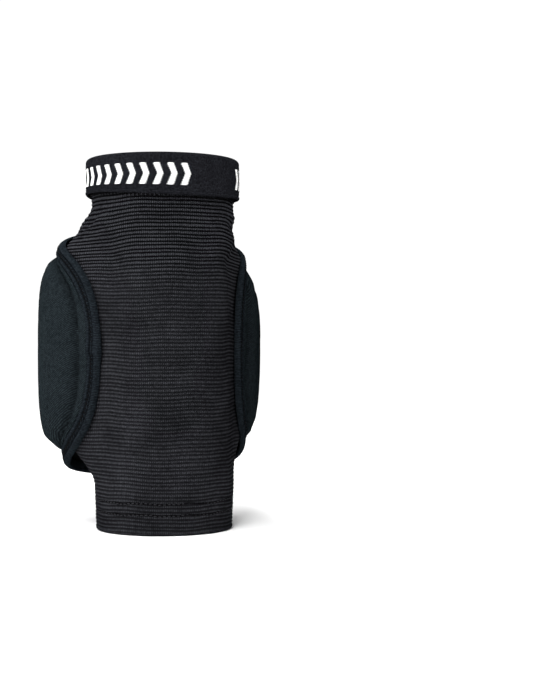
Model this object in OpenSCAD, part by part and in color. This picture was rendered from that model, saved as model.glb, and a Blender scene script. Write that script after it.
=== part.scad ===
/* [Sleeve] */
// Overall height of the standing sleeve, cuff edge to top edge, mm
overall_height = 215; // [170:1:260]
// Outer radius of the cuff at the hem, mm
cuff_r = 39.8; // [32:0.1:52]
// Outer radius of the knit just above the hem, mm
lower_r = 41.0; // [32:0.1:54]
// Outer radius of the knit at the neck under the top band, mm
neck_r = 41.6; // [32:0.1:54]
// Thickness of the ribbed knit, mm
knit_wall = 2.2; // [1:0.1:3]
// How far the neck leans back towards the pad, mm
neck_lean = 4; // [0:0.5:8]
// Height of the turned-up hem allowance, mm
hem_height = 22; // [12:1:35]
// Thickness of the turned-up hem layer, mm
hem_wall = 2; // [1:0.1:3]

/* [Cross-section in the pad zone] */
// Knit radius at the inner-elbow crease (front), mm
zone_r_front = 38.5; // [30:0.5:50]
// Knit radius 45 degrees from the front, mm
zone_r_45 = 39.3; // [30:0.5:52]
// Knit radius at the sides, mm
zone_r_side = 44.6; // [36:0.1:60]
// Knit radius 135 degrees from the front, mm
zone_r_135 = 64.4; // [45:0.1:85]
// Knit radius at the elbow tip (back), mm
zone_r_back = 55.5; // [45:0.5:85]

/* [Top band] */
// Visible height of the woven elastic band, mm
band_height = 23; // [15:0.5:40]
// Outer radius of the band, mm
band_r = 44.9; // [35:0.1:58]
// Thickness of the outer layer of the band, mm
band_wall = 1.6; // [1:0.1:2.5]
// Radius of the opening inside the band, mm
band_bore_r = 38; // [30:0.1:50]
// Height of the woven pattern, mm
pattern_height = 11.6; // [6:0.1:16]
// Thickness of the raised pattern yarn, mm
pattern_relief = 0.35; // [0.2:0.05:0.8]
// Angle from one woven mark to the next, degrees
pattern_pitch = 10; // [6:0.5:20]
// Marks in each woven group
marks_per_group = 15; // [4:1:16]

/* [Pad] */
// Half-angle that the pad spans round the sleeve, degrees
pad_half_angle = 101.8; // [70:0.1:120]
// Height of the pad centre above the cuff edge, mm
pad_centre_z = 102; // [80:0.5:130]
// Half of the pad's height, mm
pad_half_height = 74; // [50:0.5:90]
// Squareness of the pad outline, 2 is an ellipse
pad_square = 2.45; // [2:0.05:4]
// Half-angle that the raised dome spans, degrees
dome_half_angle = 87; // [50:1:110]
// Half of the dome's height, mm
dome_half_height = 63.5; // [35:0.5:80]
// Squareness of the dome outline
dome_square = 2.85; // [2:0.05:4]
// Thickness of the foam at the middle of the dome, mm
foam_thickness = 12; // [6:0.5:25]
// Thickness of the cover and backing cloth, mm
cloth = 0.9; // [0.5:0.1:1.5]

/* [Binding and threads] */
// Width of the binding on the pad's face, mm
binding_width = 6.5; // [5:0.5:14]
// Thickness of the folded binding tape, mm
binding_wall = 0.8; // [0.5:0.1:1.5]
// Thread radius, mm
thread_r = 0.3; // [0.15:0.05:0.5]

/* [Hidden] */
air = 0.1;
band_z = overall_height - band_height;
sleeve_top = overall_height - 9.5;
zone_r = [zone_r_front, zone_r_45, zone_r_side, zone_r_135, zone_r_back];
h_back = binding_wall + air;
h_foam = h_back + cloth + air;
h_flange = h_foam + cloth;
h_bind = h_flange + air;
around = 60;
loop_n = 96;
dome_steps = [0.1, 0.2, 0.3, 0.42, 0.54, 0.66, 0.78, 0.87, 0.93, 0.97, 1];

function ss(x) = let(c = min(1, max(0, x))) c * c * (3 - 2 * c);
function term(k) = (k == 0 || k == 4 ? 0.25 : 0.5) * (0.5 * zone_r[0]
    + zone_r[1] * cos(45 * k) + zone_r[2] * cos(90 * k) + zone_r[3] * cos(135 * k)
    + 0.5 * zone_r[4] * cos(180 * k));
terms = [for (k = [0:4]) term(k)];
back_reach = max([for (u = [0:3:45], v = [-40:4:56]) dome_reach(u, v)]);
front_reach = max(band_r + pattern_relief - neck_lean, lower_r);
y_axis = -(back_reach - front_reach) / 2;
function zone(a) = terms[0] + terms[1] * cos(a) + terms[2] * cos(2 * a)
    + terms[3] * cos(3 * a) + terms[4] * cos(4 * a);
function round_r(z) = cuff_r + (lower_r - cuff_r) * ss((z - 4) / 24)
    + (neck_r - lower_r) * ss((z - 100) / 80);
function bulge(a, z) = ss((z - 25) / 30) * (1 - ss((z - 157 + 8 * cos(a)) / 30));
function cup(z) = min(0.74 + 0.26 * ss((z - 24) / 42), 1 - 0.4 * ss((z - 160) / 20));
function knit_r(a, z) = round_r(z) + (zone(a) - round_r(z)) * bulge(a, z);
function base_r(a, z) = 0.6 + round_r(z) + (zone(a) - round_r(z)) * max(cup(z), bulge(a, z));
function back_lean(z) = neck_lean * ss((z - 120) / 70);
function lean(z) = y_axis + back_lean(z);
function at(r, a, z) = [r * sin(a), lean(z) - r * cos(a), z];
function squared(t, p) = pow(pow(abs(cos(t)), p) + pow(abs(sin(t)), p), -1 / p);
function outline(t) = let(q = squared(t, pad_square))
    [pad_half_angle * cos(t) * q, pad_half_height * sin(t) * q];
function foot(t) = let(q = squared(t, dome_square))
    [dome_half_angle * cos(t) * q, dome_half_height * sin(t) * q];
// flange position: f is 0 at the dome's foot and 1 at the rim, in mm it is flange_mm(t)
function flange(t, f) = foot(t) + (outline(t) - foot(t)) * f;
function as_mm(p) = [p[0] * 0.95, p[1]];
function flange_mm(t) = norm(as_mm(outline(t)) - as_mm(foot(t)));
function pad_at(p, h) = let(a = 180 - p[0], z = pad_centre_z + p[1]) at(base_r(a, z) + h, a, z);
function foam_h(q) = h_foam + max(0.8, foam_thickness * pow(1 - min(1, pow(q, 8)), 0.6)) / 0.92;

// how far back of the axis the dome's cloth reaches at pad position (u, v)
function dome_reach(u, v) = let(
    q = pow(pow(abs(u) / dome_half_angle, dome_square) + pow(abs(v) / dome_half_height, dome_square),
        1 / dome_square),
    z = pad_centre_z + v)
    back_lean(z) + (base_r(180 - u, z) + foam_h(q) + air + cloth / 0.92) * cos(u);

function ring_faces(rows, cols, closed) = [
    for (i = [0:closed ? rows - 1 : rows - 2]) for (j = [0:cols - 1])
        let(i2 = (i + 1) % rows, j2 = (j + 1) % cols,
            a = i * cols + j, b = i * cols + j2, c = i2 * cols + j2, d = i2 * cols + j)
        each [[a, b, c], [a, c, d]]];

// a closed loop of sections: pts[i][j], i round the section, j round the loop
module looped(pts) {
    rows = len(pts);
    cols = len(pts[0]);
    polyhedron(points = [for (r = pts) each r], faces = ring_faces(rows, cols, true));
}

// a stack of rings from the outer centre point to the inner centre point
module capped(first, pts, last) {
    rows = len(pts);
    cols = len(pts[0]);
    n = rows * cols;
    polyhedron(
        points = [for (r = pts) each r, first, last],
        faces = [
            each ring_faces(rows, cols, false),
            for (j = [0:cols - 1]) [n, (j + 1) % cols, j],
            for (j = [0:cols - 1]) [n + 1, n - cols + j, n - cols + (j + 1) % cols]]);
}

// ribbed knit tube: the arm goes through it, the cup of the pad pushes its back out
module sleeve() {
    zs = [0, 3, 8, 14, 20, 24, 27, 30, 33, 36, 39, 42, 45, 50, 60, 72, 86, 100, 114, 128, 140,
        149, 156, 161, 165, 169, 173, 177, 181, 185, 189, 194, sleeve_top];
    outer = [for (z = zs) [for (j = [0:around - 1])
        let(a = 360 * j / around) at(knit_r(a, z), a, z)]];
    inner = [for (i = [len(zs) - 1:-1:0]) let(z = zs[i]) [for (j = [0:around - 1])
        let(a = 360 * j / around) at(knit_r(a, z) - knit_wall, a, z)]];
    color([0.14, 0.14, 0.15]) looped(concat(outer, inner));
}

// last stretch of the knit, turned up inside the cuff
module hem_fold() {
    r = cuff_r - knit_wall - 0.06;
    color([0.13, 0.13, 0.14]) translate([0, y_axis, 0.4])
        rotate_extrude($fn = 96) translate([r - hem_wall, 0]) square([hem_wall, hem_height]);
}

module hem_thread(z) {
    color([0.07, 0.07, 0.08]) translate([0, y_axis, z]) rotate_extrude($fn = 96)
        translate([max(round_r(z - thread_r), round_r(z + thread_r)) + thread_r + 0.02, 0])
            circle(r = thread_r, $fn = 16);
}

module hem_stitch_upper() hem_thread(18);

module hem_stitch_lower() hem_thread(11.5);

// woven elastic folded over the top edge of the knit, its outer lower edge hangs free
module top_band() {
    out = band_r;
    free_in = band_r - band_wall;
    grip = neck_r + 0.04;
    leg_out = neck_r - knit_wall - 0.1;
    top = overall_height;
    color([0.11, 0.11, 0.13]) translate([0, y_axis + neck_lean, 0]) rotate_extrude($fn = 128)
        polygon(concat(
            [[out - 0.35, band_z], [out, band_z + 0.4], [out, top - 2.6]],
            [for (t = [15:15:90]) [out - 2.4 + 2.4 * cos(t), top - 2.6 + 2.6 * sin(t)]],
            [for (t = [90:15:165]) [band_bore_r + 1.4 + 1.4 * cos(t), top - 1.8 + 1.8 * sin(t)]],
            [[band_bore_r, top - 1.8], [band_bore_r, band_z + 7], [leg_out, band_z + 7],
                [leg_out, sleeve_top + 0.1], [grip, sleeve_top + 0.1], [grip, band_z + 9],
                [free_in, band_z + 6], [free_in, band_z]]));
}

// one woven mark: a plain pointed bar, cut from a thin ring that lies on the band
module mark(angle) {
    half = pattern_height / 2;
    w = band_r * sin(pattern_pitch * 0.27);
    tip = band_r * sin(pattern_pitch * 0.3);
    rotate([0, 0, angle - 90]) intersection() {
        difference() {
            cylinder(r = band_r + 0.01 + pattern_relief, h = pattern_height, center = true, $fn = 128);
            cylinder(r = band_r + 0.01, h = pattern_height + 2, center = true, $fn = 128);
        }
        rotate([90, 0, 90]) linear_extrude(band_r + 3)
            polygon([[-w - tip / 2, -half - 1], [w - tip / 2, -half - 1], [w + tip / 2, 0],
                [w - tip / 2, half + 1], [-w - tip / 2, half + 1], [-w + tip / 2, 0]]);
    }
}

// generic woven marks in white yarn, two groups with a plain gap at the front
module band_pattern() {
    color([0.93, 0.93, 0.92]) translate([0, y_axis + neck_lean, band_z + 10.8])
        for (start = [-143, 52]) for (k = [0:marks_per_group - 1])
            mark(start + pattern_pitch * (k + 0.5));
}

// overlock thread that joins the band to the knit, tucked in under the band's free edge
module band_join_stitch() {
    z = band_z + 2;
    color([0.06, 0.06, 0.07]) translate([0, lean(z), z]) rotate_extrude($fn = 96)
        translate([neck_r + 0.9 + thread_r, 0]) circle(r = thread_r * 1.2, $fn = 16);
}

// bar tack that closes the band into a ring, at the back
module band_close_stitch() {
    h = 15;
    color([0.06, 0.06, 0.07]) translate([0, y_axis + neck_lean, 0])
        for (a = [-152.5, -148.5]) rotate([0, 0, a - 90])
            translate([band_r + thread_r + 0.02, 0, band_z + 4]) cylinder(r = thread_r, h = h, $fn = 16);
}

flange_steps = [0.1, 0.3, 0.5, 0.7, 0.85, 0.985];
function dome_ring(q, h) = [for (j = [0:around - 1]) pad_at(foot(360 * j / around) * q, h)];
function flange_ring(f, h) = [for (j = [0:around - 1]) pad_at(flange(360 * j / around, f), h)];

// stretch cloth over the dome and the flat flange
module pad_cover() {
    lift = air;
    under = concat([for (q = dome_steps) dome_ring(q, foam_h(q) + lift)],
        [for (f = flange_steps) flange_ring(f, h_foam)]);
    over = concat([for (q = dome_steps) dome_ring(q, foam_h(q) + lift + cloth / 0.92)],
        [for (f = flange_steps) flange_ring(f, h_flange)]);
    n = len(over);
    color([0.13, 0.15, 0.17]) capped(
        pad_at([0, 0], foam_h(0) + lift + cloth / 0.92),
        concat(over, [for (i = [n - 1:-1:0]) under[i]]),
        pad_at([0, 0], foam_h(0) + lift));
}

// moulded foam cup over the elbow tip, sealed between cover and backing
module foam_core() {
    n = len(dome_steps);
    color([0.75, 0.73, 0.62]) capped(
        pad_at([0, 0], foam_h(0)),
        concat([for (q = dome_steps) dome_ring(q * 0.995, foam_h(q))],
            [for (i = [n - 1:-1:0]) dome_ring(dome_steps[i] * 0.995, h_foam)]),
        pad_at([0, 0], h_foam));
}

// lining cloth on the arm side of the pad
module pad_backing() {
    n = len(dome_steps);
    m = len(flange_steps);
    top = h_back + cloth;
    color([0.1, 0.1, 0.11]) capped(
        pad_at([0, 0], top),
        concat([for (q = dome_steps) dome_ring(q, top)],
            [for (f = flange_steps) flange_ring(f, top)],
            [for (i = [m - 1:-1:0]) flange_ring(flange_steps[i], h_back)],
            [for (i = [n - 1:-1:0]) dome_ring(dome_steps[i], h_back)]),
        pad_at([0, 0], h_back));
}

// a point on the rim: x is mm in from the rim, h is height off the base
function rim_at(t, x, h) = pad_at(flange(t, 1 - x / flange_mm(t)), h);

// tape folded round the rim; its two ends overlap on the left flank
module edge_binding() {
    w = binding_width;
    t = h_bind + binding_wall;
    shape = [[w, h_bind], [w, t], [w * 0.5, t], [0.4, t], [-0.7, t - 0.5], [-1.1, t * 0.5],
        [-0.7, 0.5], [0.4, 0], [w * 0.5, 0], [w, 0], [w, binding_wall], [w * 0.5, binding_wall],
        [-0.1, binding_wall], [-0.1, h_bind], [w * 0.5, h_bind]];
    end = [[w, t + 0.05], [w, t + 0.65], [w * 0.5, t + 0.65], [0.4, t + 0.65], [0.4, t + 0.05],
        [w * 0.5, t + 0.05]];
    color([0.11, 0.12, 0.14]) {
        looped([for (s = shape) [for (j = [0:loop_n - 1]) rim_at(360 * j / loop_n, s[0], s[1])]]);
        overlap_end(end);
    }
}

// the lapped end of the tape, a short second layer
module overlap_end(shape) {
    steps = [-4, -2, 0, 2];
    n = len(shape);
    m = len(steps);
    pts = [for (s = steps) for (p = shape) rim_at(180 + s, p[0], p[1])];
    polyhedron(points = pts, faces = [
        for (i = [0:m - 2]) for (k = [0:n - 1]) let(k2 = (k + 1) % n)
            each [[i * n + k, i * n + k2, (i + 1) * n + k2], [i * n + k, (i + 1) * n + k2, (i + 1) * n + k]],
        [0, 2, 1], [0, 5, 2], [5, 3, 2], [5, 4, 3],
        [(m - 1) * n, (m - 1) * n + 1, (m - 1) * n + 2], [(m - 1) * n, (m - 1) * n + 2, (m - 1) * n + 5],
        [(m - 1) * n + 5, (m - 1) * n + 2, (m - 1) * n + 3],
        [(m - 1) * n + 5, (m - 1) * n + 3, (m - 1) * n + 4]]);
}

module rim_thread(x, h) {
    looped([for (k = [0:5]) [for (j = [0:loop_n - 1])
        rim_at(360 * j / loop_n, x + thread_r * cos(60 * k), h + thread_r * sin(60 * k))]]);
}

module binding_stitch_outer()
    color([0.05, 0.05, 0.06]) rim_thread(2.1, h_bind + binding_wall + 0.7 + thread_r + 0.05);

module binding_stitch_inner()
    color([0.05, 0.05, 0.06]) rim_thread(4.5, h_bind + binding_wall + 0.7 + thread_r + 0.05);

// sews the pad to the knit, in the crease beside the tape
module pad_attach_stitch()
    color([0.05, 0.05, 0.06]) rim_thread(binding_width + 0.75, h_flange + 0.12 + thread_r);

sleeve();
hem_fold();
hem_stitch_upper();
hem_stitch_lower();
top_band();
band_pattern();
band_join_stitch();
band_close_stitch();
pad_cover();
foam_core();
pad_backing();
edge_binding();
binding_stitch_outer();
binding_stitch_inner();
pad_attach_stitch();
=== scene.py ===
import math

import bpy
import numpy as np
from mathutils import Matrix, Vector


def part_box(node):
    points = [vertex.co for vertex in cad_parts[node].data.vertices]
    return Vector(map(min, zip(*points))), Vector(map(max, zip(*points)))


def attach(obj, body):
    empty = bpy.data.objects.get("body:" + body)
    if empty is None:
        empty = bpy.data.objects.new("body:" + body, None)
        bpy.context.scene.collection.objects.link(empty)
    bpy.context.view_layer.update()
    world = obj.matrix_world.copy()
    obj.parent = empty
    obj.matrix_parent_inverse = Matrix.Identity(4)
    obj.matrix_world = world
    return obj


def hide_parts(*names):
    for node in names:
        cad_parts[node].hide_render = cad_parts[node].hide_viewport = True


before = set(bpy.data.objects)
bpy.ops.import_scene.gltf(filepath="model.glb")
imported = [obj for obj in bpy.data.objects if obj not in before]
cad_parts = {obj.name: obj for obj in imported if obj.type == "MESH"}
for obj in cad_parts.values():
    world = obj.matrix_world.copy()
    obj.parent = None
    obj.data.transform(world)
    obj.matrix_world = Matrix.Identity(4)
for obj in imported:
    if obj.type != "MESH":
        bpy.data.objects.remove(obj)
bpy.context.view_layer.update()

# ---------------------------------------------------------------- sizes, all in mm
MM = 0.001


def cad(node):
    """Lowest and highest corner of a CAD node, in mm."""
    low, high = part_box(node)
    return np.array(low) / MM, np.array(high) / MM


hem_low, hem_high = cad("hem_fold")
band_low, band_high = cad("top_band")
AXIS_Y = (hem_low[1] + hem_high[1]) / 2  # the cuff's axis
HEIGHT = band_high[2]
BAND_Z = band_low[2]
HEM_TOP = hem_high[2]
BAND_R = (band_high[0] - band_low[0]) / 2
CUFF_R, LOWER_R, NECK_R = 39.8, 41.0, 41.6  # knit radius at the hem, above it and at the neck
KNIT = 2.2  # knit thickness
HEM_IN_R = CUFF_R - KNIT - 0.06 - 2.0  # inside the turned-up layer, which is 2 mm thick
BAND_BORE_R = 38.0  # inside the folded band
BAND_WALL = 1.6
NECK_LEAN = 4.0  # how far the neck leans back
SLEEVE_TOP = HEIGHT - 9.5  # the knit's top edge, inside the band's fold
ZONE = (38.5, 39.3, 44.6, 64.4, 55.5)  # knit radius every 45 degrees, front to back, behind the pad

PAD_Z = 102.0
# Half width in degrees round the arm, half height in mm, and how square the corners are.
PAD_ANGLE, PAD_HALF, PAD_SQUARE = 101.8, 74.0, 2.45
DOME_ANGLE, DOME_HALF, DOME_SQUARE = 87.0, 63.5, 2.85
MM_PER_DEGREE = 0.95  # round the flank of the pad
FOAM = 12.0
CLOTH = 0.9
SLANT = 0.92  # the dome's sides slant, so heights off the base are thicknesses divided by this
AIR = 0.1  # gap between layers
TAPE_WIDTH, TAPE = 6.5, 0.8  # how far the tape reaches in from the rim, and its thickness
# Heights of the layers' undersides off the pad's base.
H_BACK = TAPE + AIR
H_FOAM = H_BACK + CLOTH + AIR
H_FLANGE = H_FOAM + CLOTH
H_TAPE = H_FLANGE + AIR

RIB = 2.1  # rib pitch of the knit
RIB_DEPTH = 0.4
WALES = 208  # stitch columns round the sleeve
STITCH = 2.6  # stitch length
FAR = 99.0  # what the edge map says where no seam is near


def smooth(x):
    x = np.clip(x, 0, 1)
    return x * x * (3 - 2 * x)


def cosine_terms(radii):
    """Five radii at 0, 45, 90, 135 and 180 degrees as a cosine series."""
    weight = (0.5, 1, 1, 1, 0.5)
    return [
        (0.25 if k in (0, 4) else 0.5)
        * sum(w * r * math.cos(math.pi * k * j / 4) for j, (w, r) in enumerate(zip(weight, radii)))
        for k in range(5)
    ]


TERMS = cosine_terms(ZONE)


def zone(a):
    """Radius of the knit behind the pad, at angle a from the front."""
    return sum(t * np.cos(k * a) for k, t in enumerate(TERMS))


def round_r(z):
    """Radius of the sleeve as a plain tube."""
    return (CUFF_R + (LOWER_R - CUFF_R) * smooth((z - 4) / 24)
            + (NECK_R - LOWER_R) * smooth((z - 100) / 80))


def bulge(a, z):
    """How far the knit has widened from a plain tube to zone(a): 0 to 1."""
    return smooth((z - 25) / 30) * (1 - smooth((z - 157 + 8 * np.cos(a)) / 30))


def cup(z):
    """The same for the pad's base, which curls in less than the knit at the top and bottom."""
    return np.minimum(0.74 + 0.26 * smooth((z - 24) / 42), 1 - 0.4 * smooth((z - 160) / 20))


def knit_r(a, z):
    """Outer radius of the sleeve at angle a from the front and height z."""
    return round_r(z) + (zone(a) - round_r(z)) * bulge(a, z)


def base_r(a, z):
    """Radius of the surface that the pad lies on."""
    return 0.6 + round_r(z) + (zone(a) - round_r(z)) * np.maximum(cup(z), bulge(a, z))


def at(r, a, z):
    """The point at radius r and angle a from the front, round an axis that leans back in the neck."""
    lean = AXIS_Y + NECK_LEAN * smooth((z - 120) / 70)
    return np.stack(np.broadcast_arrays(r * np.sin(a), lean - r * np.cos(a), z), -1)


def squared(t, power):
    """Scale that turns a circle into a rounded rectangle."""
    return (np.abs(np.cos(t)) ** power + np.abs(np.sin(t)) ** power) ** (-1 / power)


def outline(t):
    """The pad's rim, in pad coordinates."""
    q = squared(t, PAD_SQUARE)
    return PAD_ANGLE * np.cos(t) * q, PAD_HALF * np.sin(t) * q


def foot(t):
    """The foot of the pad's dome, in pad coordinates."""
    q = squared(t, DOME_SQUARE)
    return DOME_ANGLE * np.cos(t) * q, DOME_HALF * np.sin(t) * q


def flange_mm(t):
    """Width of the flat flange between the dome's foot and the rim."""
    (u0, v0), (u1, v1) = foot(t), outline(t)
    return np.hypot(MM_PER_DEGREE * (u1 - u0), v1 - v0)


def flange(t, f):
    """Pad coordinates between the dome's foot (f = 0) and the rim (f = 1)."""
    (u0, v0), (u1, v1) = foot(t), outline(t)
    return u0 + (u1 - u0) * f, v0 + (v1 - v0) * f


def pad_at(u, v, h):
    """A point of the pad: u degrees from the back, v mm from its centre, h mm off its base."""
    a, z = np.radians(180 - u), PAD_Z + v
    return at(base_r(a, z) + h, a, z)


def rim_at(t, inset, h):
    """A point h off the base, inset mm in from the rim."""
    u, v = flange(t, 1 - inset / flange_mm(t))
    return pad_at(u, v, h)


def waves(a, z, parts):
    """A smooth, repeatable unevenness: a sum of a few slow waves."""
    return sum(k * np.sin(m * a + n * z + p) for k, m, n, p in parts)


# ---------------------------------------------------------------- meshes
def new_object(name, points, faces, uv=None, edge=None):
    """A mesh object from points in mm; uv is its weave map, edge holds its distances from seams, in mm."""
    mesh = bpy.data.meshes.new(name)
    mesh.from_pydata((np.asarray(points) * MM).tolist(), [], faces)
    mesh.update()
    loops = np.empty(len(mesh.loops), dtype=np.int64)
    mesh.loops.foreach_get("vertex_index", loops)
    for title, values in (("weave", uv), ("edge", edge)):
        if values is not None:
            layer = mesh.uv_layers.new(name=title)
            layer.data.foreach_set("uv", np.asarray(values, dtype=np.float32)[loops].ravel())
    mesh.polygons.foreach_set("use_smooth", [True] * len(mesh.polygons))
    obj = bpy.data.objects.new(name, mesh)
    bpy.context.scene.collection.objects.link(obj)
    return obj


def quads(rows, cols, close_rows, close_cols):
    """Faces between the points of a grid whose rows and columns may close into loops."""
    i = np.arange(rows if close_rows else rows - 1)[:, None]
    j = np.arange(cols if close_cols else cols - 1)[None, :]
    i2, j2 = (i + 1) % rows, (j + 1) % cols
    cells = np.stack(np.broadcast_arrays(i * cols + j, i * cols + j2, i2 * cols + j2, i2 * cols + j), -1)
    return cells.reshape(-1, 4).tolist()


def loop_mesh(name, sections, uv, flip=False, edge=None):
    """sections[i][j]: i goes round the section and j round the loop, both closed."""
    rows, cols = sections.shape[:2]
    faces = quads(rows, cols, True, True)
    if flip:
        faces = [f[::-1] for f in faces]
    return new_object(name, sections.reshape(-1, 3), faces, uv.reshape(-1, 2),
                      None if edge is None else edge.reshape(-1, 2))


def capped_mesh(name, first, rings, last, uv=None, edge=None):
    """Rings stacked from an outer centre point to an inner one."""
    rows, cols = rings.shape[:2]
    n = rows * cols
    faces = quads(rows, cols, False, True)
    faces += [[n, (j + 1) % cols, j] for j in range(cols)]
    faces += [[n + 1, n - cols + j, n - cols + (j + 1) % cols] for j in range(cols)]
    points = np.concatenate([rings.reshape(-1, 3), [first, last]])
    maps = [None if m is None else np.concatenate([m.reshape(-1, 2), [m[0].mean(0), m[-1].mean(0)]])
            for m in (uv, edge)]
    return new_object(name, points, faces, *maps)


def unit(v):
    return v / np.maximum(np.linalg.norm(v, axis=-1, keepdims=True), 1e-9)


def threads(name, starts, ends, normals, radius, bow, sides=8, rings=7):
    """Short stitches from starts to ends, each a thread that bows off the cloth in its middle."""
    s = np.linspace(0, 1, rings)
    along = unit(ends - starts)
    side = unit(np.cross(along, normals))
    up = unit(np.cross(side, along))
    lift = np.sin(np.pi * s) * bow
    fat = radius * np.sqrt(np.clip(1 - (2 * s - 1) ** 4, 0.02, 1))
    centre = (starts[:, None] + (ends - starts)[:, None] * s[None, :, None]
              + up[:, None] * lift[None, :, None])
    turn = 2 * np.pi * np.arange(sides) / sides
    ring = (np.cos(turn)[None, None, :, None] * side[:, None, None]
            + np.sin(turn)[None, None, :, None] * up[:, None, None])
    points = centre[:, :, None] + ring * fat[None, :, None, None]
    block = rings * sides
    one = quads(rings, sides, False, True)
    one += [list(range(sides))[::-1], list(range(block - sides, block))]
    faces = [[i + k * block for i in face] for k in range(len(starts)) for face in one]
    return new_object(name, points.reshape(-1, 3), faces)


# ---------------------------------------------------------------- materials
def shader(name, **values):
    """A new material, its node tree, and its Principled shader with values set on its sockets."""
    mat = bpy.data.materials.new(name)
    mat.use_nodes = True
    tree = mat.node_tree
    bsdf = tree.nodes["Principled BSDF"]
    for key, value in values.items():
        bsdf.inputs[key.replace("_", " ")].default_value = value
    return mat, tree, bsdf


def add(tree, kind, settings=(), **inputs):
    """A new node. An input is named by its socket, or i0, i1 and so on by its socket's number."""
    node = tree.nodes.new(kind)
    for key, value in dict(settings).items():
        setattr(node, key, value)
    for key, value in inputs.items():
        socket = node.inputs[int(key[1:])] if key[0] == "i" and key[1:].isdigit() else node.inputs[key]
        if isinstance(value, bpy.types.NodeSocket):
            tree.links.new(value, socket)
        else:
            socket.default_value = value
    return node


def maths(tree, operation, a, b=0.0, c=0.0):
    node = add(tree, "ShaderNodeMath", {"operation": operation}, i0=a, i1=b)
    if operation == "MULTIPLY_ADD":
        node.inputs[2].default_value = c
    return node.outputs[0]


def blend(tree, factor, dark, light):
    node = tree.nodes.new("ShaderNodeMix")
    node.data_type = "RGBA"
    tree.links.new(factor, node.inputs[0])
    node.inputs[6].default_value = (*dark, 1)
    node.inputs[7].default_value = (*light, 1)
    return node.outputs[2]


def weave_uv(tree, title="weave"):
    uv = add(tree, "ShaderNodeUVMap", {"uv_map": title})
    split = add(tree, "ShaderNodeSeparateXYZ", i0=uv.outputs[0])
    return split.outputs[0], split.outputs[1]


def grain(tree, scale, detail=3.0):
    """Noise over the object's own space, from 0 to 1."""
    where = add(tree, "ShaderNodeTexCoord")
    node = add(tree, "ShaderNodeTexNoise", Vector=where.outputs["Object"], Scale=scale, Detail=detail,
               Roughness=0.6)
    return node.outputs[0]


def ripple(tree, value, power=1.0):
    """0 to 1 and back once for each whole number of value, highest on the whole number."""
    angle = maths(tree, "MULTIPLY", value, 2 * math.pi)
    wave = maths(tree, "MULTIPLY_ADD", maths(tree, "COSINE", angle), 0.5, 0.5)
    return maths(tree, "POWER", wave, power) if power != 1 else wave


def bump(tree, bsdf, height, distance, strength):
    node = add(tree, "ShaderNodeBump", Strength=strength, Distance=distance, Height=height)
    tree.links.new(node.outputs[0], bsdf.inputs["Normal"])


def painted_crease_shade(tree, colour, value, place, width, strength):
    """The colour, painted nearly black in a soft line where value is near place: painted shade in a crease.
    """
    off = maths(tree, "MULTIPLY", maths(tree, "SUBTRACT", value, place), 1 / width)
    fall = maths(tree, "EXPONENT", maths(tree, "MULTIPLY", maths(tree, "MULTIPLY", off, off), -1.0))
    node = tree.nodes.new("ShaderNodeMix")
    node.data_type = "RGBA"
    tree.links.new(maths(tree, "MULTIPLY", fall, strength), node.inputs[0])
    tree.links.new(colour, node.inputs[6])
    # Nearly black: the painted shade in the crease.
    node.inputs[7].default_value = (0.0004, 0.0004, 0.0005, 1)
    return node.outputs[2]


def knit_material():
    """Rows of small stitch loops on each rib, painted lighter on the loops and darker in the grooves as
    painted highlight and shade; the painted contrast is stronger in the neck, where the knit is drawn
    tight.
    """
    mat, tree, bsdf = shader("ribbed_knit", Roughness=0.9, Specular_IOR_Level=0.0)
    column, row = weave_uv(tree)
    stray = maths(tree, "MULTIPLY", maths(tree, "SUBTRACT", grain(tree, 120.0), 0.5), 0.22)
    rib = ripple(tree, maths(tree, "ADD", row, stray), 1.6)
    loop = ripple(tree, maths(tree, "ADD", column, maths(tree, "MULTIPLY", grain(tree, 260.0), 0.5)))
    # The beads carry painted highlight on the loops and painted shade in the grooves, over the real stitch
    # pattern.
    bead = maths(tree, "MULTIPLY", rib, maths(tree, "MULTIPLY_ADD", loop, 0.75, 0.25))
    patch = grain(tree, 38.0)
    fleck = maths(tree, "MAXIMUM", maths(tree, "MULTIPLY_ADD", grain(tree, 700.0, 2.0), 1.8, 0.1), 0.1)
    # Painted highlight and groove shade: milder below, stronger in the neck.
    relaxed = maths(tree, "MULTIPLY_ADD", bead, 0.84, 0.15)
    neck_painted_contrast = maths(tree, "MULTIPLY", bead, 1.5)
    # Mask by height, with patchy edges, for the neck's stronger painted highlight and shade.
    patchy_row = maths(tree, "ADD", row, maths(tree, "MULTIPLY", patch, 16.0))
    pulled = maths(tree, "MULTIPLY_ADD", patchy_row, 0.09, -6.6)
    pulled = maths(tree, "MINIMUM", maths(tree, "MAXIMUM", pulled, 0.0), 1.0)
    shade = add(tree, "ShaderNodeMix", Factor=pulled, A=relaxed, B=neck_painted_contrast).outputs[0]
    shade = maths(tree, "MULTIPLY", shade, fleck)
    shade = maths(tree, "MULTIPLY", shade, maths(tree, "MULTIPLY_ADD", patch, 1.5, 0.2))
    colour = blend(tree, shade, KNIT_DARK, KNIT_LIGHT)
    # Painted shade in the grooves of the hem's two stitch rows, placed by the edge map.
    for side in weave_uv(tree, "edge"):
        colour = painted_crease_shade(tree, colour, side, 0.0, 0.6, 0.85)
    tree.links.new(colour, bsdf.inputs["Base Color"])
    bump(tree, bsdf, bead, 0.0005, 0.9)
    return mat


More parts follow.
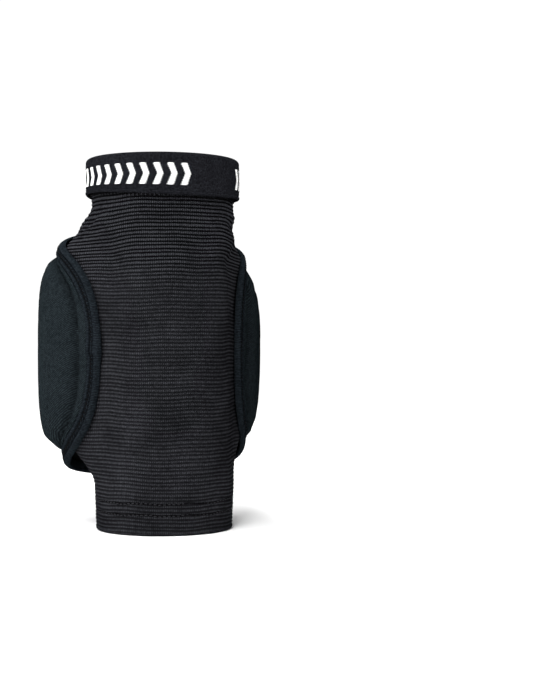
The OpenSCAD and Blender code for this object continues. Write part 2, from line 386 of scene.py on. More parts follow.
def elastic_material():
    """Woven elastic: fine cross ribs and finer warp threads."""
    mat, tree, bsdf = shader("woven_elastic", Roughness=0.85, Specular_IOR_Level=0.0)
    u, v = weave_uv(tree)
    rows = ripple(tree, v)
    cols = ripple(tree, maths(tree, "ADD", u, maths(tree, "MULTIPLY", grain(tree, 200.0), 0.4)))
    cloth = maths(tree, "MULTIPLY", rows, maths(tree, "MULTIPLY_ADD", cols, 0.6, 0.4))
    nub = maths(tree, "MULTIPLY_ADD", grain(tree, 1100.0, 1.0), 1.9, -0.4)
    nub = maths(tree, "MAXIMUM", nub, 0.0)
    patch = maths(tree, "ADD", grain(tree, 60.0), 0.6)
    shade = maths(tree, "MULTIPLY", cloth, maths(tree, "MULTIPLY", nub, patch))
    tree.links.new(blend(tree, shade, BAND_DARK, BAND_LIGHT), bsdf.inputs["Base Color"])
    bump(tree, bsdf, cloth, 0.0003, 0.8)
    return mat


def twill_material(name, dark, light, pitch=1.15, slope=1.0, painted_creases=()):
    """Close diagonal weave, its map in mm. Each crease of painted shade is (side of the edge map, place,
    width, strength).
    """
    mat, tree, bsdf = shader(name, Roughness=0.8, Specular_IOR_Level=0.0)
    u, v = weave_uv(tree)
    jitter = maths(tree, "MULTIPLY", grain(tree, 420.0), 1.3)
    diagonal = maths(tree, "MULTIPLY", maths(tree, "ADD", u, maths(tree, "MULTIPLY", v, slope)), 1 / pitch)
    line = ripple(tree, maths(tree, "ADD", diagonal, jitter))
    yarn = ripple(tree, maths(tree, "MULTIPLY", maths(tree, "SUBTRACT", v, u), 1.6 / pitch))
    cloth = maths(tree, "MULTIPLY", line, maths(tree, "MULTIPLY_ADD", yarn, 0.4, 0.6))
    shade = maths(tree, "MULTIPLY", cloth, maths(tree, "MULTIPLY_ADD", grain(tree, 45.0, 4.0), 0.8, 0.6))
    fleck = maths(tree, "MAXIMUM", maths(tree, "MULTIPLY_ADD", grain(tree, 640.0, 1.5), 3.0, -0.5), 0.15)
    colour = blend(tree, maths(tree, "MULTIPLY", shade, fleck), dark, light)
    # Painted shade, nearly black, in soft lines along the edge map.
    if painted_creases:
        sides = weave_uv(tree, "edge")
        for side, place, width, strength in painted_creases:
            colour = painted_crease_shade(tree, colour, sides[side], place, width, strength)
    tree.links.new(colour, bsdf.inputs["Base Color"])
    bump(tree, bsdf, cloth, 0.00018, 0.6)
    return mat


def yarn_material():
    mat, tree, bsdf = shader("white_yarn", Roughness=0.75, Sheen_Weight=0.2, Specular_IOR_Level=0.3)
    twist = grain(tree, 900.0, 2.0)
    tree.links.new(blend(tree, twist, (0.72, 0.72, 0.71), (0.9, 0.9, 0.89)), bsdf.inputs["Base Color"])
    bump(tree, bsdf, twist, 0.0002, 0.5)
    return mat


def thread_material(name, dark, light):
    mat, tree, bsdf = shader(name, Roughness=0.7, Specular_IOR_Level=0.03)
    twist = grain(tree, 1500.0, 2.0)
    tree.links.new(blend(tree, twist, dark, light), bsdf.inputs["Base Color"])
    bump(tree, bsdf, twist, 0.0001, 0.5)
    return mat


def foam_material():
    mat, tree, bsdf = shader("cell_foam", Roughness=0.9, Specular_IOR_Level=0.2)
    cells = grain(tree, 700.0, 4.0)
    tree.links.new(blend(tree, cells, (0.06, 0.06, 0.06), (0.14, 0.14, 0.14)), bsdf.inputs["Base Color"])
    bump(tree, bsdf, cells, 0.0004, 0.7)
    return mat


KNIT_DARK, KNIT_LIGHT = (0.001, 0.001, 0.0012), (0.035, 0.036, 0.041)
BAND_DARK, BAND_LIGHT = (0.002, 0.002, 0.0026), (0.034, 0.036, 0.043)
GROOVES = (1.15, 3.75)  # the two grooves that the thread rows draw into the tape, mm in from the rim
KNIT_MAT = knit_material()
BAND_MAT = elastic_material()
# The cover, with painted shade in the crease by the tape and along the dome's foot.
COVER_MAT = twill_material("stretch_twill", (0.003, 0.0045, 0.0053), (0.0175, 0.0232, 0.0265),
                           painted_creases=((0, 6.7, 0.75, 0.9), (1, -0.2, 1.2, 0.4)))
# The tape, with painted shade in its two thread-row grooves and along its inner edge.
TAPE_MAT = twill_material("binding_tape", (0.0025, 0.0035, 0.0045), (0.0165, 0.021, 0.0255), 0.9, 0.0,
                          ((0, GROOVES[0], 0.5, 0.97), (0, GROOVES[1], 0.5, 0.97),
                           (0, TAPE_WIDTH, 0.45, 0.95)))
LINING_MAT = twill_material("lining", (0.008, 0.008, 0.009), (0.02, 0.02, 0.022))
YARN_MAT = yarn_material()
THREAD_MAT = thread_material("black_thread", (0.0008, 0.0008, 0.001), (0.0025, 0.0025, 0.003))
HEM_THREAD_MAT = thread_material("hem_thread", (0.006, 0.006, 0.007), (0.03, 0.03, 0.034))
FOAM_MAT = foam_material()


def finish_piece(obj, material, node):
    obj.data.materials.append(material)
    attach(obj, "root")
    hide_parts(node)


# ---------------------------------------------------------------- sleeve
# Slow waves of the knit: height in mm, waves round the arm, radians per mm along it, and phase.
SLOW = [(0.35, 3, 0.05, 0.4), (0.25, 5, -0.07, 2.1), (0.2, 8, 0.11, 4.0), (0.12, 13, -0.16, 1.0)]


def pulls(a, z):
    """Creases in the neck that run from the band down to the pad's top corners."""
    away = np.degrees(np.abs(a))
    corner_angle, corner_z, mm_per_degree = 122, 166, 0.72
    across, up = (corner_angle - away) * mm_per_degree, z - corner_z
    angle, far = np.degrees(np.arctan2(up, across)), np.hypot(across, up)
    window = smooth((angle - 2) / 12) * (1 - smooth((angle - 62) / 14)) * smooth((far - 4) / 12)
    window = window * (1 - smooth((far - 38) / 26)) * (1 - smooth((z - 184) / 6))
    return 0.95 * window * np.sin(np.radians(angle * 22))


def drape(a, z):
    """Broad slanting folds in the neck, where the knit narrows from the pad to the band."""
    window = smooth((z - 138) / 22) * (1 - smooth((z - 180) / 9))
    slow = np.sin(0.21 * z + 3.1 * a + 0.6) + 0.55 * np.sin(0.33 * z - 4.3 * a + 2.2)
    front = smooth((1.25 - np.abs(a - 0.15)) / 0.8)
    swell = 2.0 * front * np.exp(-(((z - 156 - 5 * np.sin(1.5 * a)) / 13) ** 2))
    dip = -1.1 * front * np.exp(-(((z - 178 + 4 * np.sin(1.5 * a)) / 7) ** 2)) * (1 - smooth((z - 182) / 7))
    return window * (0.8 * slow + 0.3 * np.sin(0.5 * z + 9.0 * a)) + swell + dip


def rib_drift(a, z):
    """How far the ribs are pulled up or down, in mm."""
    away = np.degrees(np.abs(a))
    flank = smooth((away - 35) / 60)
    top = flank * smooth((z - 140) / 30) * (1 - smooth((z - 176) / 18))
    return 2.2 * top + waves(a, z, [(0.35, 2, 0.02, 0.3), (0.25, 5, 0.03, 1.9), (0.15, 9, -0.05, 0.7)])


def rib_phase(a, z):
    """Counts the ribs; every second one is a little narrower."""
    turns = (z + rib_drift(a, z)) / RIB
    return turns + 0.06 * np.sin(np.pi * turns)


HEM_ROWS = (11.5, 18.0)  # heights of the two stitch rows


def softness(z):
    """How free the knit is to drape: 0 at the hem and under the band, 1 between."""
    return smooth((z - 2) / 8) * (1 - smooth((z - 180) / 10))


def hem_wander(a):
    """How far the hem's stitch rows stray from level, in mm."""
    return 0.35 * np.sin(9 * a + 0.6) + 0.2 * np.sin(23 * a)


def sleeve_surface(a, z):
    """Radius of the ribbed outer face."""
    phase = rib_phase(a, z)
    rib = (0.5 + 0.5 * np.cos(2 * np.pi * phase)) ** 1.3
    hem_seam = sum(np.exp(-((z - s - hem_wander(a)) / 0.8) ** 2) for s in HEM_ROWS)
    r = knit_r(a, z) - RIB_DEPTH * (1 - rib) - 0.6 * hem_seam
    return r + softness(z) * (waves(a, z, SLOW) + pulls(a, z) + drape(a, z))


def make_sleeve():
    """The tube's ribbed outer face, its turn at the cuff's edge, and its inner face."""
    cols = 200
    a = np.linspace(0, 2 * np.pi, cols, endpoint=False) - np.pi
    rows, uv, edge = [], [], []
    for z in np.arange(1.4, SLEEVE_TOP, RIB / 4)[::-1]:
        rows.append(at(sleeve_surface(a, z), a, z))
        uv.append(np.stack([a / (2 * np.pi) * WALES, rib_phase(a, z)], -1))
        edge.append(np.stack([z - s - hem_wander(a) for s in HEM_ROWS], -1))
    fold_mid, fold_half = (CUFF_R + HEM_IN_R) / 2, (CUFF_R - HEM_IN_R) / 2 - 0.15
    for turn in np.linspace(0, np.pi, 9):
        z = 1.25 - 1.25 * math.sin(turn)
        rows.append(at(fold_mid + fold_half * math.cos(turn), a, z))
        uv.append(np.stack([a / (2 * np.pi) * WALES, np.full(cols, -turn * 0.8)], -1))
    for z in np.linspace(1.5, SLEEVE_TOP, 56):
        soft = softness(z) * (waves(a, z, SLOW) + pulls(a, z) + drape(a, z))
        rows.append(at(knit_r(a, z) - KNIT + soft, a, z))
        uv.append(np.stack([a / (2 * np.pi) * WALES, rib_phase(a, z)], -1))
    plain = np.full((len(rows) - len(edge), cols, 2), FAR)
    sleeve = loop_mesh("knit_sleeve", np.array(rows), np.array(uv),
                       edge=np.concatenate([np.array(edge), plain]))
    finish_piece(sleeve, KNIT_MAT, "sleeve")


def make_hem_fold():
    """The knit turned up inside the cuff, ribbed on the arm's side."""
    cols = 160
    a = np.linspace(0, 2 * np.pi, cols, endpoint=False)
    out, inner, low, top = CUFF_R - KNIT - 0.1, HEM_IN_R, 1.6, HEM_TOP
    profile = [(out, z) for z in np.linspace(low, top - 0.4, 12)]
    profile += [((out + inner) / 2 + (out - inner) / 2 * math.cos(t), top - 0.4 + 0.4 * math.sin(t))
                for t in np.linspace(0.3, math.pi - 0.3, 5)]
    for z in np.arange(top - 0.5, low, -RIB / 4):
        ripple_r = 0.16 * (0.5 - 0.5 * math.cos(2 * math.pi * z / RIB))
        profile.append((inner + ripple_r, z))
    rows = np.array([at(r + 0 * a, a, z) for r, z in profile])
    uv = np.array([np.stack([a / (2 * np.pi) * WALES, 0 * a + z / RIB], -1) for _, z in profile])
    fold = loop_mesh("hem_inner_layer", rows[::-1], uv[::-1], edge=np.full(uv.shape, FAR))
    finish_piece(fold, KNIT_MAT, "hem_fold")


def make_hem_row(name, node, z):
    """One row of the hem's coverstitch: short threads with a gap where each dips into the knit."""
    count = int(2 * math.pi * CUFF_R / STITCH)
    a = np.arange(count) / count * 2 * np.pi
    gap = 0.36 * 2 * np.pi / count
    height = z + hem_wander(a)

    def on(angle):
        return at(knit_r(angle, height) - 0.45 * RIB_DEPTH - 0.35, angle, height)

    normals = np.stack([np.sin(a), -np.cos(a), 0 * a], -1)
    row = threads(name, on(a - gap), on(a + gap), normals, 0.27, 0.22)
    finish_piece(row, HEM_THREAD_MAT, node)


# ---------------------------------------------------------------- top band
WARP, WEFT = 0.8, 0.62  # pitch of the elastic's threads, round and across


def band_profile():
    """The band's section: selvedge, flat face, rounded top fold, inner leg and the grip on the knit."""
    out, top = BAND_R, HEIGHT
    free_in = out - BAND_WALL
    pts = [(free_in + 0.25, BAND_Z + 0.1), (out - 0.5, BAND_Z), (out - 0.02, BAND_Z + 0.45),
           (out + 0.18, BAND_Z + 1.0), (out + 0.12, BAND_Z + 1.6), (out - 0.22, BAND_Z + 1.95),
           (out - 0.2, BAND_Z + 2.4)]
    face = np.linspace(BAND_Z + 3, top - 2.8, 30)
    pts += [(out - 0.02 + 0.25 * math.sin(math.pi * k / 29) - 0.05, z) for k, z in enumerate(face)]
    pts += [(out - 2.4 + 2.4 * math.cos(t), top - 2.6 + 2.6 * math.sin(t))
            for t in np.linspace(0.15, math.pi / 2, 8)]
    pts += [(BAND_BORE_R + 1.6 + 1.6 * math.cos(t), top - 1.9 + 1.9 * math.sin(t))
            for t in np.linspace(math.pi / 2 + 0.2, math.pi - 0.1, 7)]
    pts += [(BAND_BORE_R, z) for z in np.linspace(top - 2.4, BAND_Z + 7.6, 14)]
    pts += [(BAND_BORE_R + 0.5, BAND_Z + 7), (NECK_R - KNIT - 0.1, BAND_Z + 7.2)]
    pts += [(NECK_R - KNIT - 0.1, SLEEVE_TOP + 0.1), (NECK_R + 0.06, SLEEVE_TOP + 0.1),
            (NECK_R + 0.06, BAND_Z + 9), (free_in, BAND_Z + 6), (free_in, BAND_Z + 0.6)]
    return np.array(pts)


def band_wave(a, z):
    """The relaxed elastic isn't a perfect ring: its free edge rides up at the left, sags in front."""
    free = 1 - smooth((z - BAND_Z) / 12)
    drop = -1.16 + 2.26 * np.sin(a) ** 2 - 0.98 * np.sin(a) + 0.15 * np.sin(3 * a + 1)
    return 0.22 * np.sin(2 * a + 0.5) * free, drop * free


def make_band():
    cols = 220
    a = np.linspace(0, 2 * np.pi, cols, endpoint=False)
    profile = band_profile()
    rows, uv, run = [], [], 0.0
    for k, (r, z) in enumerate(profile):
        if k:
            run += float(np.hypot(*(profile[k] - profile[k - 1])))
        dr, dz = band_wave(a, z)
        ring = at(r + dr, a, HEIGHT)
        ring[:, 2] = z + dz
        rows.append(ring)
        uv.append(np.stack([a * BAND_R / WARP, 0 * a + run / WEFT], -1))
    band = loop_mesh("elastic_band", np.array(rows), np.array(uv), flip=True)
    finish_piece(band, BAND_MAT, "top_band")


MARK_MID, MARK_HALF = 10.8, 5.8  # middle above the band's edge, and half height
MARK_PITCH = 10.0  # degrees
MARK_STARTS = (-143.0, 52.0)  # where the two groups of bars begin, degrees from the front
MARKS = 15  # bars in a group
MARK_ROWS = 20  # yarn floats in a bar


def make_marks():
    """Plain pointed bars woven in white: each bar is a stack of short yarn floats with stepped ends."""
    step = 2 * MARK_HALF / MARK_ROWS
    half_width = BAND_R * math.sin(math.radians(MARK_PITCH * 0.27))
    tip = BAND_R * math.sin(math.radians(MARK_PITCH * 0.3))
    starts, ends, normals = [], [], []
    for first in MARK_STARTS:
        for k in range(MARKS):
            middle = first + MARK_PITCH * (k + 0.5)
            for row in range(MARK_ROWS):
                rise = -MARK_HALF + step * (row + 0.5)
                shift = tip * (0.5 - abs(rise) / MARK_HALF)
                stagger = 0.18 * (1 if row % 2 else -1)
                lo = shift - half_width + stagger
                hi = shift + half_width + stagger * 0.6
                z = BAND_Z + MARK_MID + rise
                ends_a = [math.radians(middle) + x / BAND_R for x in (lo, hi)]
                pair = []
                for angle in ends_a:
                    dr, dz = band_wave(angle, z)
                    p = at(BAND_R + 0.06 + dr, np.array(angle), HEIGHT)
                    pair.append([p[0], p[1], z + dz])
                starts.append(pair[0])
                ends.append(pair[1])
                a = sum(ends_a) / 2
                normals.append([math.sin(a), -math.cos(a), 0])
    marks = threads("woven_marks", np.array(starts), np.array(ends), np.array(normals), 0.37, 0.16, 6, 5)
    finish_piece(marks, YARN_MAT, "band_pattern")


def make_join_stitch():
    """Overlock loops that hold the band, just showing under its free edge."""
    count = 104
    a = np.arange(count) / count * 2 * np.pi
    lean = 0.6 * np.pi / count
    drop = band_wave(a, BAND_Z)[1]
    top = at(NECK_R + 0.35 + 0 * a, a, BAND_Z + 1.6 + drop)
    low = at(NECK_R + 0.2 + 0 * a, a + lean, BAND_Z - 1.7 + drop)
    back = at(NECK_R + 0.2 + 0 * a, a + 3 * lean, BAND_Z + 1.4 + drop)
    normals = np.stack([np.sin(a), -np.cos(a), 0 * a], -1)
    loops = threads("band_overlock", np.concatenate([top, low]), np.concatenate([low, back]),
                    np.concatenate([normals, normals]), 0.24, 0.15, 6, 5)
    finish_piece(loops, THREAD_MAT, "band_join_stitch")


def make_close_stitch():
    """Two zigzag tacks that close the band into a ring, at the back."""
    length, zigs = 15, 16
    starts, ends, normals = [], [], []
    for middle in (-152.5, -148.5):
        a = math.radians(middle)
        for k in range(zigs):
            z0, z1 = BAND_Z + 4 + length * k / zigs, BAND_Z + 4 + length * (k + 1) / zigs
            side = 0.9 if k % 2 else -0.9
            for z, x, store in ((z0, -side, starts), (z1, side, ends)):
                dr, dz = band_wave(a + x / BAND_R, z)
                p = at(BAND_R + 0.2 + dr, np.array(a + x / BAND_R), HEIGHT)
                store.append([p[0], p[1], z + dz])
            normals.append([math.sin(a), -math.cos(a), 0])
    tack = threads("band_tack", np.array(starts), np.array(ends), np.array(normals), 0.25, 0.1, 6, 5)
    finish_piece(tack, THREAD_MAT, "band_close_stitch")


# ---------------------------------------------------------------- pad
AROUND = 168  # points in each ring of the pad
ARCH_RINGS = 14  # rings of the cover between the dome's foot and the crease
TURN = np.linspace(0, 2 * np.pi, AROUND, endpoint=False)
SEAM_AT = 7.25  # the seam that joins the pad to the knit, mm in from the rim, in the crease by the tape
SLACK_OUT, SLACK_IN = 0.8, 0.25  # how far the settled cloth may leave or sink into the foam, mm


def foam_h(q):
    """Height of the foam's top, from q = 0 at the dome's middle to q = 1 at its foot."""
    return H_FOAM + np.maximum(0.8, FOAM * (1 - np.minimum(1, q ** 8)) ** 0.6) / SLANT


def pad_weave(u, v):
    return np.stack([u * MM_PER_DEGREE, v], -1)


def dome_rings(qs, height):
    u, v = foot(TURN)
    return np.array([pad_at(u * q, v * q, height(q)) for q in qs])


def cover_relief(q):
    """Small puckers where the cloth is drawn into the seam at the dome's foot."""
    near = math.exp(-((1 - q) / 0.10) ** 2)
    return near * (0.28 * np.sin(46 * TURN + 0.4) + 0.2 * np.sin(31 * TURN + 2.0))


def settle(cover, free, frames=18):
    """Let the cover's slack cloth find its own puckers; the seam and the inner side are held still."""
    old = np.array([v.co for v in cover.data.vertices])
    normal = np.array([v.normal for v in cover.data.vertices])
    held = cover.vertex_groups.new(name="held")
    held.add(np.nonzero(~free)[0].tolist(), 1.0, "REPLACE")
    cloth = cover.modifiers.new("slack", "CLOTH")
    cloth.settings.vertex_group_mass = "held"
    cloth.settings.quality = 6
    cloth.settings.mass = 0.002
    cloth.settings.tension_stiffness = 25
    cloth.settings.compression_stiffness = 25
    cloth.settings.shear_stiffness = 8
    cloth.settings.bending_stiffness = 0.02
    cloth.settings.shrink_min = -0.02
    cloth.settings.use_pressure = True
    cloth.settings.uniform_pressure_force = 0.4
    cloth.collision_settings.use_collision = False
    scene = bpy.context.scene
    for frame_number in range(1, frames + 1):
        scene.frame_set(frame_number)
    result = cover.evaluated_get(bpy.context.evaluated_depsgraph_get()).data
    new = np.array([v.co for v in result.vertices])
    cover.modifiers.remove(cloth)
    cover.vertex_groups.remove(held)
    scene.frame_set(1)
    rise = ((new - old) * normal).sum(1) / MM
    slide = (new - old) / MM - rise[:, None] * normal
    rise = np.where(rise > 0, SLACK_OUT * np.tanh(rise / SLACK_OUT), SLACK_IN * np.tanh(rise / SLACK_IN))
    size = np.linalg.norm(slide, axis=1, keepdims=True)
    slide = slide / np.maximum(size, 1e-9) * SLACK_IN * np.tanh(size / SLACK_IN)
    moved = old + (rise[:, None] * normal + slide) * MM * free[:, None]
    cover.data.vertices.foreach_set("co", moved.ravel())
    cover.data.update()


def make_cover():
    """The cloth's outer face from the dome's middle to the rim, and its inner face back again."""
    qs = [0.04 + 0.96 * (1 - (1 - k / 29) ** 1.9) for k in range(30)]
    rings, uv, edge = [], [], []
    u0, v0 = foot(TURN)
    gap_mm = flange_mm(TURN)
    for q in qs:
        rings.append(pad_at(u0 * q, v0 * q, foam_h(q) + AIR + CLOTH / SLANT + cover_relief(q)))
        uv.append(pad_weave(u0 * q, v0 * q))
        edge.append(np.stack([gap_mm + (1 - q) * DOME_HALF, (1 - q) * DOME_HALF + 0 * TURN], -1))
    crease = 1 - SEAM_AT / gap_mm  # flange position of the crease
    for k in range(1, ARCH_RINGS + 1):
        s = k / ARCH_RINGS
        f = crease * s
        u, v = flange(TURN, f)
        arch = math.sin(math.pi * s ** 0.8) ** 0.8
        pucker = 0.16 * arch * np.sin(61 * TURN + 1.2 * np.sin(5 * TURN))
        h = H_FLANGE + 0.85 * (1 - s) ** 2 + 1.25 * arch + pucker - 0.55 * s ** 6
        rings.append(pad_at(u, v, h))
        uv.append(pad_weave(u, v))
        edge.append(np.stack([gap_mm * (1 - f), -gap_mm * f], -1))
    for inset in (6.9, 6.4, 4.8, 3.0, 1.2, 0.15):
        u, v = flange(TURN, 1 - inset / gap_mm)
        rings.append(pad_at(u, v, H_FLANGE - (0.3 if inset > TAPE_WIDTH else 0.05)))
        uv.append(pad_weave(u, v))
        edge.append(np.stack([inset + 0 * TURN, inset - gap_mm], -1))
    for f in (0.985, 0.6, 0.25, 0.1):
        u, v = flange(TURN, f)
        rings.append(pad_at(u, v, H_FOAM))
        uv.append(pad_weave(u, v))
    for q in qs[::-2]:
        rings.append(pad_at(u0 * q, v0 * q, foam_h(q) + AIR * 0.5))
        uv.append(pad_weave(u0 * q, v0 * q))
    edge += [np.full((AROUND, 2), FAR)] * (len(rings) - len(edge))
    outer = pad_at(0.0, 0.0, foam_h(0.0) + AIR + CLOTH / SLANT)
    inner = pad_at(0.0, 0.0, foam_h(0.0) + AIR * 0.5)
    cover = capped_mesh("pad_cloth_cover", outer, np.array(rings), inner, np.array(uv), np.array(edge))
    free = np.zeros(len(cover.data.vertices), dtype=bool)
    free[:(len(qs) + ARCH_RINGS - 3) * AROUND] = True  # the outer face, nearly up to the crease
    free[-2] = True  # its middle point
    settle(cover, free)
    finish_piece(cover, COVER_MAT, "pad_cover")


def make_foam():
    qs = [0.05 + 0.945 * k / 15 for k in range(16)]
    top = dome_rings(qs, lambda q: foam_h(q) - 0.25)
    low = dome_rings(qs[::-1], lambda q: H_FOAM)
    rings = np.concatenate([top, low])
    foam = capped_mesh("foam_cup", pad_at(0.0, 0.0, foam_h(0.0) - 0.25), rings, pad_at(0.0, 0.0, H_FOAM))
    finish_piece(foam, FOAM_MAT, "foam_core")


def make_backing():
    rings, uv = [], []
    u0, v0 = foot(TURN)
    spots = [(u0 * q, v0 * q) for q in (0.05, 0.2, 0.4, 0.6, 0.8, 0.95)]
    spots += [flange(TURN, f) for f in (0.1, 0.35, 0.6, 0.8, 0.97)]
    for h, order in ((H_BACK + CLOTH, spots), (H_BACK, spots[::-1])):
        for u, v in order:
            rings.append(pad_at(u, v, h))
            uv.append(pad_weave(u, v))
    lining = capped_mesh("pad_lining", pad_at(0.0, 0.0, H_BACK + CLOTH), np.array(rings),
                         pad_at(0.0, 0.0, H_BACK), np.array(uv))
    finish_piece(lining, LINING_MAT, "pad_backing")


# ---------------------------------------------------------------- binding
ROWS_AT = (2.2, 3.75)  # the two thread rows: slanting stitches between the grooves, and a straight row
LAP_AT = math.pi  # where the tape's ends lap: the left flank, at mid-height
PACE_AT = 3.0  # stitches are evenly spaced along this line, mm in from the rim


def rim_length():
    t = np.linspace(0, 2 * np.pi, 721)
    p = rim_at(t, PACE_AT, H_TAPE)
    return float(np.linalg.norm(np.diff(p, axis=0), axis=1).sum())


def even_turns(count, inset):
    """count angles that are evenly spaced along the rim."""
    t = np.linspace(0, 2 * np.pi, 2881)
    p = rim_at(t, inset, H_TAPE)
    run = np.concatenate([[0], np.cumsum(np.linalg.norm(np.diff(p, axis=0), axis=1))])
    return np.interp(np.arange(count) / count * run[-1], run, t)


RIM_STITCHES = int(rim_length() / STITCH)


def make_binding():
    """Folded tape: drawn in at each thread row, puffed between, with a lapped end on the left flank."""
    per = 5  # points to a stitch
    count = RIM_STITCHES * per
    t = even_turns(count, PACE_AT)
    beat = np.arange(count) / per * 2 * np.pi
    top = H_TAPE + TAPE
    insets = (TAPE_WIDTH, 6.42, 6.2, 5.8, 5.3, 4.8, 4.35, 4.0, 3.75, 3.5, 3.2, 2.8, 2.3, 1.8, 1.5, 1.3,
              1.15, 1.0, 0.7, 0.2)
    sections, uv, edge = [], [], []
    past = (t - LAP_AT + np.pi) % (2 * np.pi) - np.pi
    lap = smooth((past + 0.17) / 0.15) * (1 - smooth(past / 0.018))
    reach = smooth((past + 0.3) / 0.29) * (1 - smooth(past / 0.11))
    for k, x in enumerate(insets):
        row = sum(math.exp(-((x - s) / 0.45) ** 2) for s in GROOVES)
        ridge = 0.75 if x < GROOVES[0] else 0.45 if x < GROOVES[1] else 0.95
        puff = ridge * (1 - min(1.0, row)) * (1 if x < 6.3 else 0.3)
        draw = -0.75 * row * (0.8 + 0.2 * np.cos(beat))
        swell = puff * (0.85 + 0.15 * np.cos(beat + 0.5 * x))
        h = top - 0.15 + swell + draw + 0.8 * lap
        if k == 0:
            h = np.full(count, H_TAPE + 0.02)
        elif k == 1:
            h = np.full(count, top - 0.35) + 0.8 * lap
        sections.append(rim_at(t, x, h))
        uv.append(np.stack([beat / (2 * np.pi) * STITCH, np.full(count, x)], -1))
        edge.append(np.stack([np.full(count, x), 0 * t], -1))
    for turn in np.linspace(0.35, math.pi - 0.35, 8):
        out = 1.35 * math.sin(turn)
        h = top / 2 + (top / 2 + 0.1) * math.cos(turn)
        h = h + 0.8 * lap * max(0.0, math.cos(turn))
        sections.append(rim_at(t, -out - 1.9 * reach * math.sin(turn), h))
        uv.append(np.stack([beat / (2 * np.pi) * STITCH, np.full(count, -2.5 * turn)], -1))
        edge.append(np.full((count, 2), -FAR))
    for x, h in ((0.5, 0.0), (3.0, 0.0), (6.3, 0.05), (6.3, TAPE), (3.0, TAPE), (0.2, TAPE),
                 (-0.2, TAPE + 0.3), (-0.2, H_TAPE - 0.3), (0.2, H_TAPE), (4.0, H_TAPE)):
        sections.append(rim_at(t, x, np.full(count, h)))
        uv.append(np.stack([beat / (2 * np.pi) * STITCH, np.full(count, 10 + x)], -1))
        edge.append(np.full((count, 2), -FAR))
    tape = loop_mesh("edge_tape", np.array(sections), np.array(uv), edge=np.array(edge))
    finish_piece(tape, TAPE_MAT, "edge_binding")


def surface_normal(t, inset):
    """The outward normal of the tape's surface."""
    e = 0.002
    along = rim_at(t + e, inset, H_TAPE) - rim_at(t - e, inset, H_TAPE)
    across = rim_at(t, inset - 0.3, H_TAPE) - rim_at(t, inset + 0.3, H_TAPE)
    n = unit(np.cross(along, across))
    outward = rim_at(t, inset, H_TAPE + 1) - rim_at(t, inset, H_TAPE)
    return n * np.sign((n * outward).sum(-1, keepdims=True))


def stitch_ends(t, gap):
    """Where the stitches that begin at t start and end, each shortened by gap of its length."""
    following = np.roll(t, -1)
    following[-1] += 2 * np.pi
    length = following - t
    return t + gap * length, following - gap * length


def make_tape_row(name, node, inset, slant, lift):
    """A row of stitches round the tape; slant and lift are in mm."""
    t = even_turns(RIM_STITCHES, PACE_AT)
    start, end = stitch_ends(t, 0.14)
    h = H_TAPE + TAPE + lift
    starts, ends = rim_at(start, inset + slant, h), rim_at(end, inset - slant, h)
    row = threads(name, starts, ends, surface_normal(t, inset), 0.28, 0.22)
    finish_piece(row, THREAD_MAT, node)


def make_attach_row():
    """The seam in the crease that holds the pad to the knit."""
    t = even_turns(int(RIM_STITCHES * 0.8), 12.0)
    starts, ends = (rim_at(angle, SEAM_AT, H_FLANGE - 0.5) for angle in stitch_ends(t, 0.16))
    row = threads("pad_seam", starts, ends, surface_normal(t, SEAM_AT), 0.24, 0.2)
    finish_piece(row, THREAD_MAT, "pad_attach_stitch")


# ---------------------------------------------------------------- studio
def stage_card(name, corners, material, scale, dark, light):
    """A flat card of the studio; material is a new shader, mottled between two greys."""
    mesh = bpy.data.meshes.new(name)
    mesh.from_pydata(corners, [], [(0, 1, 2, 3)])
    card = bpy.data.objects.new(name, mesh)
    bpy.context.scene.collection.objects.link(card)
    mat, tree, bsdf = material
    tone = blend(tree, grain(tree, scale), (dark, dark, dark), (light, light, light))
    tree.links.new(tone, bsdf.inputs["Base Color"])
    mesh.materials.append(mat)
    return card


def make_floor():
    size = 1.6
    corners = [(-size, -size, 0), (size, -size, 0), (size, size, 0), (-size, size, 0)]
    paint = shader("white_floor", Roughness=0.6, Specular_IOR_Level=0.2)
    stage_card("floor", corners, paint, 3.0, 0.93, 0.95)


def area_light(name, place, aim, size, power):
    data = bpy.data.lights.new(name, "AREA")
    data.shape = "RECTANGLE"
    data.size, data.size_y = size
    data.energy = power
    light = bpy.data.objects.new(name, data)
    bpy.context.scene.collection.objects.link(light)
    light.location = place
    light.rotation_euler = (Vector(aim) - Vector(place)).to_track_quat("-Z", "Y").to_euler()


WORLD_MEAN, WORLD_LEFT, WORLD_BACK, WORLD_UP = 0.27, 0.4, 0.15, 0.25  # how light falls from each side
FLAG = (0.112, -0.065, 0.14, 0.03, 0.19)  # x, near and far y, lowest and highest z, in metres


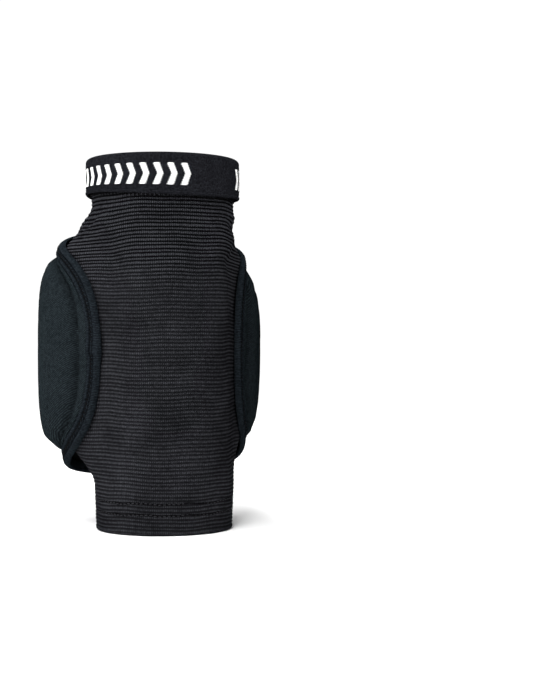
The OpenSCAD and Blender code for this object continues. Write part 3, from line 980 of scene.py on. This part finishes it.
def make_world():
    """Seen as plain white. As light it is brightest at the left and behind, as a black pad stands right."""
    world = bpy.data.worlds.new("studio")
    bpy.context.scene.world = world
    world.use_nodes = True
    tree = world.node_tree
    seen = tree.nodes["Background"]
    seen.inputs[0].default_value = (1, 1, 1, 1)
    seen.inputs[1].default_value = 1.05
    where = add(tree, "ShaderNodeTexCoord")
    split = add(tree, "ShaderNodeSeparateXYZ", i0=where.outputs["Generated"])
    level = maths(tree, "MULTIPLY_ADD", split.outputs[0], -WORLD_LEFT, WORLD_MEAN)
    level = maths(tree, "ADD", level, maths(tree, "MULTIPLY", split.outputs[1], WORLD_BACK))
    level = maths(tree, "ADD", level, maths(tree, "MULTIPLY", split.outputs[2], WORLD_UP))
    level = maths(tree, "MAXIMUM", level, 0.02)
    light = add(tree, "ShaderNodeBackground", Color=(1, 1, 1, 1), Strength=level)
    path = add(tree, "ShaderNodeLightPath")
    mix = add(tree, "ShaderNodeMixShader", i0=path.outputs["Is Camera Ray"], i1=light.outputs[0],
              i2=seen.outputs[0])
    tree.links.new(mix.outputs[0], tree.nodes["World Output"].inputs[0])


def make_flag():
    """A black card that the camera doesn't see: it shades the right side as the pair's other pad does."""
    x, near, far, low, top = FLAG
    corners = [(x, near, low), (x, far, low), (x, far, top), (x, near, top)]
    cloth = shader("flag_cloth", Roughness=1.0, Specular_IOR_Level=0.0)
    stage_card("flag", corners, cloth, 30.0, 0.004, 0.008).visible_camera = False


def make_studio():
    make_world()
    area_light("left", (-1.2, 0.0, 0.6), (0, 0.02, 0.11), (0.5, 1.0), 10)
    area_light("front", (-0.45, -0.85, 1.35), (0, 0, 0.11), (0.6, 0.7), 24)
    area_light("neck", (0.9, -0.15, 0.8), (0.03, 0, 0.17), (0.4, 0.4), 7)
    area_light("top", (0.0, 0.6, 2.0), (0.0, 0.6, 0.0), (3.2, 3.2), 68)
    make_floor()
    make_flag()


def make_camera():
    """Level with the middle of the sleeve, 15 degrees round to the left of its front."""
    distance, yaw, aside = 0.85, math.radians(15), math.radians(4.363)
    data = bpy.data.cameras.new("camera")
    data.sensor_width = 36.0
    data.lens = 75.8
    cam = bpy.data.objects.new("camera", data)
    bpy.context.scene.collection.objects.link(cam)
    cam.location = (-distance * math.sin(yaw), AXIS_Y * MM - distance * math.cos(yaw), HEIGHT * MM / 2)
    cam.rotation_euler = (math.pi / 2, 0, -yaw - aside)
    bpy.context.scene.camera = cam


make_camera()
make_studio()
make_sleeve()
make_hem_fold()
make_hem_row("hem_row_lower", "hem_stitch_lower", HEM_ROWS[0])
make_hem_row("hem_row_upper", "hem_stitch_upper", HEM_ROWS[1])
make_band()
make_marks()
make_join_stitch()
make_close_stitch()
make_cover()
make_foam()
make_backing()
make_binding()
make_tape_row("tape_row_outer", "binding_stitch_outer", ROWS_AT[0], 0.8, 0.32)
make_tape_row("tape_row_inner", "binding_stitch_inner", ROWS_AT[1], 0.0, -0.25)
make_attach_row()

bpy.context.scene.view_settings.view_transform = "Standard"
bpy.context.scene.view_settings.look = "None"
